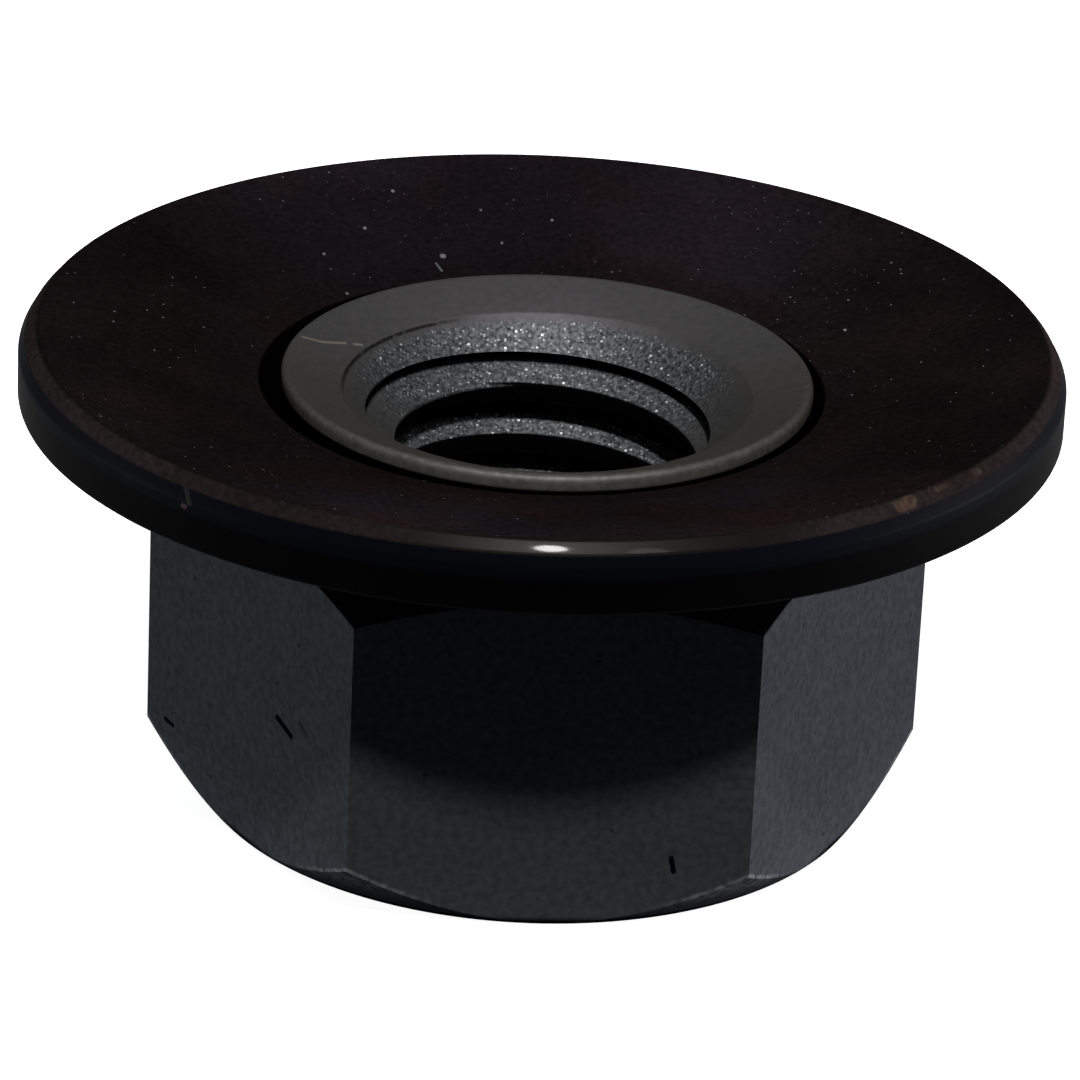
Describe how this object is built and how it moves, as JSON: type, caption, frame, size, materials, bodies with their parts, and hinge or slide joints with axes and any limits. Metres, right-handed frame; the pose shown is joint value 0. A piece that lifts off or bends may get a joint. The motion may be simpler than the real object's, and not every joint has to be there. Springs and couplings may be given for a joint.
{
  "type": "hex nut with captive dished washer",
  "caption": "Hex nut with a free-spinning dished washer kept on its collar by a swaged lip, black oxide finish.",
  "frame": {"origin": "on the thread's axis, in the plane of the plain hex end that it stands on", "axes": "+Z along the thread, from the plain hex end towards the washer; two of the hex flats face -Y and +Y"},
  "size_m": [0.023, 0.023, 0.0107],
  "materials": {
    "nut_steel": "grey-black phosphate, satin, fine grain",
    "washer_steel": "brown-black oxide, oiled, satin"
  },
  "bodies": {
    "nut": {"hex_nut": "nut_steel"},
    "washer": {"dished_washer": "washer_steel"}
  },
  "joints": [
    {"name": "washer_spin", "type": "hinge", "parent": "nut", "child": "washer", "pos_m": [-0.00012, 0, 0.0079], "axis": [0, 0, 1], "continuous": true}
  ]
}
